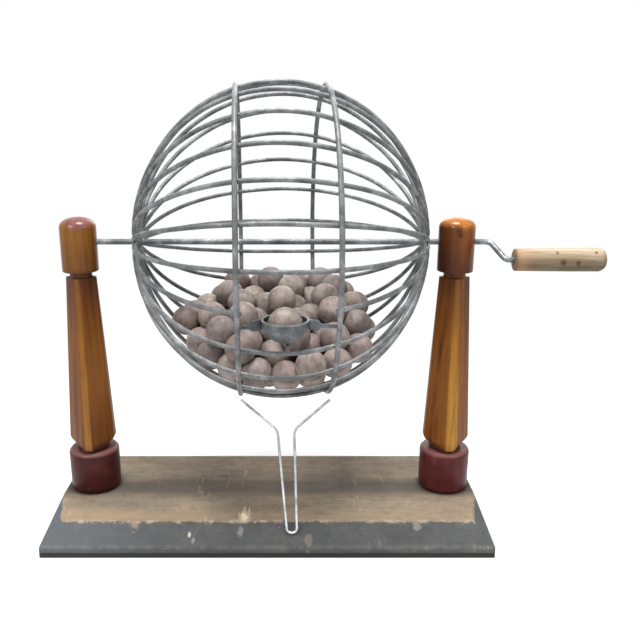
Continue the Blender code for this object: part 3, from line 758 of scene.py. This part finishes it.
def heap_places():
    """Where the loose balls lie: the rule and the seed are those of the part's own heap."""
    rng = np.random.default_rng(HEAP_SEED)
    wall = WIRE_RADIUS + HEAP_CLEARANCE + BALL_RADIUS
    room = np.array([CAGE_HALF - wall, CAGE_RADIUS - wall, CAGE_RADIUS - wall])
    centre = np.array([CAGE_X, 0.0, AXLE_Z])
    middle = np.array([-HEAP_MIDDLE, 0.0, 0.0])
    spots = rng.uniform(-1.0, 1.0, (BALL_COUNT, 3)) * room * HEAP_START_SHARE
    spots[:, 2] = -np.abs(spots[:, 2]) - HEAP_CEILING
    apart = 2 * BALL_RADIUS * HEAP_TOUCH_SHARE
    cup = np.array(CUP) - centre
    off_cup = CUP_RADIUS + BALL_RADIUS + CUP_CLEARANCE
    for turn in range(HEAP_ROUNDS):
        pull = (middle - spots) * HEAP_PULL_SHARE
        pull[:, 1] += HEAP_LEAN_SHARE * norm(room)
        pull[:, 2] = -norm(room)
        step = HEAP_STEP * (1 - turn / HEAP_ROUNDS)
        spots += step * pull / norm(pull, axis=1, keepdims=True)
        for _ in range(HEAP_PUSHES):
            between = spots[:, None, :] - spots[None, :, :]
            distance = norm(between, axis=2) + np.eye(BALL_COUNT)
            push = np.clip(apart - distance, 0, None) * (1 - np.eye(BALL_COUNT))
            spots += (between / distance[:, :, None] * push[:, :, None]).sum(axis=1) / 2
            from_cup = spots - cup
            reach = norm(from_cup, axis=1, keepdims=True)
            spots += from_cup / reach * np.clip(off_cup - reach, 0, None)
            outside = np.sqrt(((spots / room) ** 2).sum(axis=1))
            spots /= np.maximum(outside, 1.0)[:, None]
    gather(spots, apart)
    return spots + centre


def group_of(start, touching):
    """Every ball that hangs together with one ball, itself too."""
    found = touching[start]
    for _ in range(BALL_COUNT):
        found = touching[found].any(axis=0)
    return list(np.flatnonzero(found))


def gather(spots, apart):
    """Moves each stray ball or group against the rest, as the part's source does."""
    for _ in range(BALL_COUNT):
        distance = norm(spots[:, None, :] - spots[None, :, :], axis=2)
        heap = group_of(int(np.argmin(spots[:, 2])), distance < apart + SEAT_GAP)
        others = sorted(set(range(BALL_COUNT)) - set(heap))
        if not others:
            return
        gaps = distance[np.ix_(others, heap)]
        row, column = np.unravel_index(int(np.argmin(gaps)), gaps.shape)
        stray, partner = others[row], heap[column]
        moved = group_of(stray, distance < apart + SEAT_GAP)
        way = (spots[partner] - spots[stray]) / distance[stray, partner]
        spots[moved] += way * (distance[stray, partner] - apart)


def points_mesh(points):
    mesh = bpy.data.meshes.new("points")
    mesh.from_pydata([tuple(point) for point in points], [], [])
    return mesh


def octagon(half_diagonal, chamfer, height, x):
    half = chamfer / 2
    corners = [(half_diagonal, half), (half, half_diagonal)]
    corners += [(-a, b) for a, b in reversed(corners)]
    corners += [(-a, -b) for a, b in corners]
    return [(x + a, b, height) for a, b in corners]


def toe_ring(x, share, low, high):
    """A ring near the post's toe, which reaches lower at the front and back corners than at the sides."""
    ring = octagon(POST_LOW * share, POST_FLAT_LOW, 0.0, x)
    return [(a, b, low if abs(b) > abs(a - x) else high) for a, b, _ in ring]


def loft_mesh(sections):
    """A closed solid through rings of equal count, capped at both ends."""
    shape = bmesh.new()
    rings = [[shape.verts.new(point) for point in section] for section in sections]
    count = len(rings[0])
    for lower, upper in zip(rings, rings[1:]):
        for i in range(count):
            j = (i + 1) % count
            shape.faces.new([lower[i], lower[j], upper[j], upper[i]])
    shape.faces.new(list(reversed(rings[0])))
    shape.faces.new(rings[-1])
    bmesh.ops.recalc_face_normals(shape, faces=shape.faces)
    return as_mesh(shape)


def base_mesh():
    """The board: a convex solid, a little narrower halfway along its ends, as in the part's source."""
    shape = bmesh.new()
    for side in (-1, 1):
        for front in (-1, 1):
            low = front * BASE_DEPTH / 2 - BASE_FORWARD
            high = low - front * BASE_SLOPE
            shape.verts.new((side * BASE_HALF, low, 0.0))
            shape.verts.new((side * BASE_HALF, low, BASE_EDGE))
            shape.verts.new((side * (BASE_HALF - BASE_CORNER), high, BASE_TOP))
            shape.verts.new((side * (BASE_HALF - BASE_WAIST), front * BASE_WAIST_DEPTH, BASE_TOP))
    bmesh.ops.convex_hull(shape, input=shape.verts)
    bmesh.ops.dissolve_limit(shape, angle_limit=0.01, verts=shape.verts, edges=shape.edges)
    bmesh.ops.recalc_face_normals(shape, faces=shape.faces)
    return as_mesh(shape)


def build_post(side, x, look):
    low = toe_ring(x, 0.92, FOOT_TOP + 0.0016, SHAFT_BOTTOM + 0.0020)
    shoulder = toe_ring(x, 1.0, FOOT_TOP + 0.0040, SHAFT_BOTTOM + 0.0048)
    shaft = loft_mesh([low, shoulder, octagon(POST_HIGH, POST_FLAT_HIGH, SHAFT_TOP, x)])
    meshes = [shaft]
    for top, top_radius, bottom, bottom_radius in (
        (SHAFT_BOTTOM + 0.006, 0.0118, FOOT_TOP + 0.0001, 0.0124),
        (HEAD_BOTTOM - 0.0001, 0.008, SHAFT_TOP - 0.001, 0.0082),
    ):
        neck = [(0, top), (top_radius, top), (bottom_radius, bottom), (0, bottom)]
        meshes.append(lathe_mesh(neck, 48, Matrix.Translation((x, 0, 0))))
    name = f"{side}_post_varnished"
    finished(name, meshes, look, "base", [f"{side}_post"], 0.0006, 40)


def build_foot(side, x, look):
    bottom = BASE_TOP + 0.0002
    profile = [(0, FOOT_TOP), (0.0172, FOOT_TOP), (0.01925, FOOT_TOP - 0.0022)]
    profile += [(0.0191, 0.026), (0.0184, bottom), (0, bottom)]
    profile = rounded(profile, {1: 0.0009, 2: 0.0012, 4: 0.0010})
    foot = lathe_mesh(profile, 72, Matrix.Translation((x, 0, 0)))
    finished(f"{side}_foot_lacquered", [foot], look, "base", [f"{side}_foot"], 0, 50)


def build_head(side, x, look):
    """The domed head with its bore. The left bore is blind, and the right head has the nail's hole."""
    turns = evenly(0, 1.5, 9)
    profile = [(HEAD_RADIUS * sin(a), HEAD_TOP - DOME + DOME * cos(a) ** 0.85) for a in turns]
    below = [(HEAD_RADIUS, HEAD_TOP - 0.0081), (HEAD_RADIUS, HEAD_BOTTOM), (0, HEAD_BOTTOM)]
    profile += rounded(below, {1: 0.0010})
    head = lathe_mesh(profile, 72, Matrix.Translation((x, 0, 0)))
    radius = AXLE_RADIUS + 0.00028
    length = 0.04
    seat = 0.0090
    start = x - seat if side == "left" else x - length / 2
    outline = [(0, length), (radius, length), (radius, 0), (0, 0)]
    cutters = [lathe_mesh(outline, 32, along_x(start, 0, AXLE_Z))]
    if side == "right":
        hole = [(0, 0.0002), (0.0012, 0.0002), (0.0010, -0.0062), (0, -0.0062)]
        place = Matrix.Translation((x, -HEAD_RADIUS, AXLE_Z + NAIL_UP))
        cutters.append(lathe_mesh(hole, 24, place @ Matrix.Rotation(radians(90), 4, "X")))
    name = f"{side}_head_varnished"
    finished(name, [head], look, "base", [f"{side}_head"], 0, 50, cutters)


def build_stand():
    board = painted_board()
    finished("base_board_painted", [base_mesh()], board, "base", ["base_board"], 0.0009, 30)
    # The side colour, then the colour of the painted highlight on the front corner.
    golds = ((0.185, 0.066, 0.010), (0.31, 0.140, 0.024))
    varnish = varnished_post("amber_varnish_left", -POST_X, (0.31, 0.12, 0.0), *golds, 0.0004, 0.0028)
    browns = ((0.135, 0.053, 0.010), (0.190, 0.074, 0.009), (0.165, 0.062, 0.057))
    build_post("left", -POST_X, varnish)
    build_foot("left", -POST_X, lacquered_foot("maroon_lacquer_left", (0.2, 0.1, 0.4), 0.9))
    build_head("left", -POST_X, varnished_head("brown_varnish_left", -POST_X, *browns, 0.0))
    # The side colour, then the colour of the painted highlight on the front corner.
    golds = ((0.205, 0.069, 0.008), (0.39, 0.195, 0.022))
    varnish = varnished_post("amber_varnish_right", POST_X, (0.62, 0.43, 0.1), *golds, 0.0022, 0.0047)
    browns = ((0.085, 0.022, 0.004), (0.175, 0.055, 0.006), (0.33, 0.115, 0.016))
    stain_at = (POST_X - 0.0010, -HEAD_RADIUS, AXLE_Z + 0.0098)
    build_post("right", POST_X, varnish)
    build_foot("right", POST_X, lacquered_foot("maroon_lacquer_right", (0.7, 0.5, 0.1), 1.35))
    build_head("right", POST_X, varnished_head("brown_varnish_right", POST_X, *browns, 0.75, stain_at))


def wire_values(radius, sides, material, wobble=0.0, scale=1.0, seed=1.0):
    values = {"Radius": radius, "Sides": sides, "Material": material}
    return values | {"Wobble": wobble, "Wobble Scale": scale, "Seed": seed}


def build_hub(side, direction, metal):
    hub_radius = 0.0058
    rim = CAGE_HALF * sqrt(1 - (hub_radius / CAGE_RADIUS) ** 2)
    at = along_x(CAGE_X + direction * rim, 0, AXLE_Z)
    if direction < 0:
        at = at @ Matrix.Rotation(pi, 4, "X")
    bore = AXLE_RADIUS + 0.0002
    profile = [(bore, 0.0026), (0.0050, 0.0026), (0.0062, 0.0), (0.0054, -0.0022), (0.0036, -0.0034)]
    profile = rounded(profile + [(bore, -0.0042)], {1: 0.0008, 2: 0.0010, 3: 0.0008, 4: 0.0006})
    lump = lathe_mesh(profile, 36, at)
    name = f"cage_hub_{side}"
    finished(f"{name}_soldered", [lump], metal, "cage", [name], 0, 60)


def build_cup(metal, rod):
    inner = CUP_RADIUS - CUP_WALL
    quarter = evenly(0, pi / 2, 16)
    bowl = [(inner * sin(a), -inner * cos(a)) for a in quarter]
    bowl.append(((inner + CUP_RADIUS) / 2, 0.00035))
    bowl += [(CUP_RADIUS * cos(a), -CUP_RADIUS * sin(a)) for a in quarter]
    bowl[-1] = (0.0, -CUP_RADIUS)
    cup = lathe_mesh(bowl, 64, Matrix.Translation(CUP))
    finished("ball_cup_bowl", [cup], metal, "cage", ["ball_cup"], 0, 50)
    turns = evenly(0, 2 * pi, 12)[:-1]
    rim = [(inner + CUP_ROLL * (0.5 + cos(a)), CUP_ROLL * (sin(a) - 0.25)) for a in turns]
    roll = lathe_mesh(rim, 64, Matrix.Translation(CUP))
    finished("ball_cup_rolled_rim", [roll], rod, "cage", [], 0, 80)
    for side, direction in SIDES:
        name = f"cup_strap_{side}"
        finished(f"{name}_worn", [strap_mesh(direction)], metal, "cage", [name], 0.0003, 30)


def build_cage(metal, rod, bright, dark):
    wires = wire_tree()
    replaced = [f"cage_wire_{i:02d}" for i in range(1, WIRE_COUNT)]
    replaced += ["gate_wire_left", "gate_wire_right", "cup_stem"]
    values = wire_values(WIRE_SEEN, 12, metal, 0.0015, 20.0, 3.0)
    grow("cage_meridian_wires", wires, paths_mesh(cage_paths()), values, "cage", replaced)
    values = wire_values(HOOP_SEEN, 14, metal, 0.0005, 20.0, 3.0)
    hoops = paths_mesh(hoop_paths(), True)
    grow("cage_hoops", wires, hoops, values, "cage", ["hoop_left", "hoop_right"])
    for side, direction in SIDES:
        build_hub(side, direction, metal)
    seat_depth = 0.0225
    bend = 0.0034
    turns = [(CRANK_BENDS[0], 0, AXLE_Z), (CRANK_BENDS[1], -CRANK_FORWARD, PIN_Z)]
    path = [(-POST_X + HEAD_RADIUS - seat_depth, 0, AXLE_Z), *turns, (PIN_END, -CRANK_FORWARD, PIN_Z)]
    axle = paths_mesh([rounded_path(path, bend)])
    values = wire_values(AXLE_RADIUS, 20, rod)
    grow("axle_and_crank", wires, axle, values, "cage", ["axle_crank"])
    values = wire_values(RUNWAY_RADIUS, 12, bright, 0.0005, 30.0, 5.0)
    runway = paths_mesh([runway_path()])
    grow("ball_runway_wire", wires, runway, values, "base", ["ball_runway"])
    build_cup(dark, rod)
    values = {"Radius": SOLDER_RADIUS, "Seed": 6, "Material": metal}
    joints = points_mesh(crossings())
    grow("cage_soldered_joints", solder_tree(), joints, values, "cage", [])


def crossings():
    """Where the wires pass under the hoops, a little inside the hoops' own wire."""
    places = []
    for side in (-1, 1):
        for index in range(WIRE_COUNT):
            angle = wire_angle(index, pi / 2)
            x = hoop_x(side, angle)
            radius = hoop_radius(side, angle) - HOOP_RADIUS
            places.append(on_cage(radius, wire_angle(index, turn_at(x)), x))
    return places


def strap_mesh(direction):
    """A strip from the hoop to the cup, widened to a round ear that laps the cup's side."""
    level = CUP.z - 0.0030
    angle = asin((level - AXLE_Z) / CAGE_RADIUS)
    reach = hoop_radius(direction, angle) - HOOP_RADIUS - 0.0014
    x = hoop_x(direction, angle) + direction * HOOP_RADIUS
    start = Vector((x, -sqrt(reach**2 - (AXLE_Z - level) ** 2), level))
    finish = Vector((CUP.x + direction * (CUP_RADIUS - 0.0004), CUP.y, level))
    length = abs(finish.x - start.x)
    ear = length - 0.0046
    ear_radius = 0.0036
    half_width = 0.0013
    neck = ear - 0.0042
    edge = [(0.0, half_width), (neck, half_width)]
    turns = evenly(0.5, pi / 2, 5)
    edge += [(ear - ear_radius * cos(a), ear_radius * sin(a)) for a in turns]
    edge.append((length, 0.0034))
    outline = [(along, -high) for along, high in edge] + edge[::-1]
    sections = []
    for half in (-STRAP_THICKNESS / 2, STRAP_THICKNESS / 2):
        section = []
        for along, high in outline:
            forward = (finish.y - start.y) * along / length + half
            section.append(start + Vector((-direction * along, forward, high)))
        sections.append(section)
    return loft_mesh(sections)


def runway_path():
    """The wire's middle line: two open arms, two rails and the round stop on the base's front slope."""
    top_y, top_z = -0.052, AXLE_Z - 0.10355
    lift = RUNWAY_RADIUS + SEAT_GAP
    fall = BASE_TOP - BASE_EDGE
    slope = hypot(BASE_SLOPE, fall)
    under = BASE_TOP - (RUNWAY_FOOT - BASE_DEPTH / 2 - BASE_FORWARD + BASE_SLOPE) * fall / BASE_SLOPE
    tip_y = -RUNWAY_FOOT - lift * fall / slope
    tip_z = under + lift * BASE_SLOPE / slope
    length = hypot(tip_y - top_y, tip_z - top_z)
    radius = 0.0037
    rails_end = 1 - radius / length
    neck = 0.225
    corner = 0.004

    def lean(x, share):
        return Vector((x, top_y + (tip_y - top_y) * share, top_z + (tip_z - top_z) * share))

    left = rounded_path([lean(-0.0182, 0), lean(0.0078, neck), lean(0.0142, rails_end)], corner)
    right = rounded_path([lean(0.0216, rails_end), lean(0.0197, neck), lean(0.0447, 0)], corner)
    bend = []
    for angle in evenly(0, pi, 14)[1:-1]:
        bend.append(lean(0.0179 - radius * cos(angle), 1 - (1 - sin(angle)) * radius / length))
    return left + bend + right


def build_balls():
    balls = ball_tree()
    wood = turned_balls()
    values = {"Radius": BALL_RADIUS - 0.00002, "Segments": 28, "Rings": 18, "Seed": 4, "Material": wood}
    heap = points_mesh(heap_places())
    grow("ball_heap", balls, heap, values, "base", ["ball_pile"])
    sink = CUP_RADIUS - CUP_WALL - BALL_RADIUS
    seat = points_mesh([CUP - Vector((0, 0, sink))])
    values = dict(values, Seed=9)
    grow("ball_in_cup", balls, seat, values, "cage", ["cup_ball"])


def build_handle():
    outer, inner = 0.0084, 0.0080
    end = PIN_END - HANDLE_START + 0.0003
    bore = AXLE_RADIUS + 0.00025
    profile = [(0, HANDLE_LENGTH), (outer - 0.0022, HANDLE_LENGTH - 0.0001), (outer, HANDLE_LENGTH - 0.0034)]
    profile += [(outer, 0.040), (inner, 0.0), (bore, 0.0), (bore, end), (0, end)]
    profile = rounded(profile, {1: 0.0014, 2: 0.0016, 4: 0.0009})
    wood = lathe_mesh(profile, 72, along_x(HANDLE_START, -CRANK_FORWARD, PIN_Z))
    look = bare_handle()
    finished("crank_handle_wood", [wood], look, "handle", ["crank_handle"], 0, 50)


def seen_rays(tree):
    """One where the camera sees a place directly, in a mirror or through glass, and zero elsewhere."""
    rays = node(tree, "ShaderNodeLightPath").outputs
    seen = maths(tree, "MAXIMUM", rays["Is Camera Ray"], rays["Is Transmission Ray"])
    return maths(tree, "MAXIMUM", seen, rays["Is Glossy Ray"])


def build_stage():
    """A pale floor and world that show white to the camera, and four soft lamps."""
    floor = bpy.data.meshes.new("studio_floor")
    half = 6.0
    corners = [(-half, -half, 0), (half, -half, 0), (half, half, 0), (-half, half, 0)]
    floor.from_pydata(corners, [], [(0, 1, 2, 3)])
    piece = add_object("studio_floor", floor)
    made, tree = shader_material("pale_floor", roughness=0.9)
    shader = tree.nodes["Principled BSDF"]
    shader.inputs["Base Color"].default_value = (0.93, 0.93, 0.93, 1.0)
    distance = node(tree, "ShaderNodeVectorMath", {0: coords(tree)}, operation="LENGTH").outputs["Value"]
    share = times(tree, span(tree, distance, 0.20, 0.48, 0.50, 1.0), seen_rays(tree))
    white = node(tree, "ShaderNodeEmission", {"Color": (1.0, 1.0, 1.0, 1.0), "Strength": 1.0})
    both = node(tree, "ShaderNodeMixShader", {0: share, 1: shader.outputs[0], 2: white.outputs[0]})
    tree.links.new(both.outputs[0], tree.nodes["Material Output"].inputs["Surface"])
    floor.materials.append(made)
    world = bpy.data.worlds.new("studio")
    scene.world = world
    world.use_nodes = True
    tree = world.node_tree
    tree.nodes.clear()
    lit = node(tree, "ShaderNodeBackground", {"Color": (0.96, 0.98, 1.0, 1.0), "Strength": 0.30})
    plain = node(tree, "ShaderNodeBackground", {"Color": (1.0, 1.0, 1.0, 1.0), "Strength": 1.0})
    choice = node(tree, "ShaderNodeMixShader", {0: seen_rays(tree), 1: lit.outputs[0], 2: plain.outputs[0]})
    node(tree, "ShaderNodeOutputWorld", {"Surface": choice.outputs[0]})
    lamps = (
        ("key", (-0.85, -1.00, 1.20), 0.7, 17.0),
        ("fill", (0.95, -0.75, 1.10), 0.6, 7.0),
        ("top", (0.02, -0.02, 1.25), 0.40, 21.0),
        ("back", (0.3, 1.3, 0.8), 0.9, 5.0),
    )
    target = Vector((0.02, 0, 0.15))
    for name, place, size, power in lamps:
        light = bpy.data.lights.new(name, "AREA")
        light.size = size
        light.energy = power
        lamp = add_object(name, light)
        lamp.location = place
        aim = target - Vector(place)
        lamp.rotation_euler = aim.to_track_quat("-Z", "Y").to_euler()


def build_camera():
    """The camera fitted to the photograph: its focal length and sideways shift are in the photo's pixels."""
    data = bpy.data.cameras.new("camera")
    data.sensor_width = SENSOR_WIDTH
    data.lens = FOCAL_PIXELS / PHOTO_PIXELS * SENSOR_WIDTH
    data.shift_x = (PHOTO_PIXELS / 2 - VIEW_MIDDLE_PIXEL) / PHOTO_PIXELS
    data.clip_start = 0.01
    data.clip_end = 50
    camera = add_object("camera", data)
    camera.location = CAMERA_PLACE
    camera.rotation_euler = (radians(90 - CAMERA_DOWN), 0, 0)
    bpy.context.scene.camera = camera
    scene.view_settings.view_transform = "Standard"


greys = ((0.062, 0.065, 0.067), (0.128, 0.133, 0.136), (0.25, 0.258, 0.265))
zinc = dull_metal("dull_zinc_worn", *greys, 0.12, 0.42)
greys = ((0.050, 0.054, 0.058), (0.115, 0.122, 0.128), (0.30, 0.31, 0.32))
steel = dull_metal("steel_rod_worn", *greys, 0.30, 0.33, 0.8)
greys = ((0.16, 0.17, 0.19), (0.52, 0.54, 0.58), (0.85, 0.86, 0.88))
drawn = dull_metal("drawn_wire_worn", *greys, 0.75, 0.25, 0.45)
greys = ((0.055, 0.060, 0.066), (0.10, 0.108, 0.117), (0.21, 0.225, 0.24))
sheet = dull_metal("dark_sheet_worn", *greys, 0.4, 0.42, 1.2)
rusts = ((0.03, 0.008, 0.004), (0.055, 0.014, 0.006), (0.09, 0.03, 0.012))
nail_iron = dull_metal("nail_iron", *rusts, 0.2, 0.6, 3.0)

build_camera()
build_stand()
nodes["right_head_nail"].data.materials.clear()
nodes["right_head_nail"].data.materials.append(nail_iron)
build_cage(zinc, steel, drawn, sheet)
build_balls()
build_handle()
build_stage()
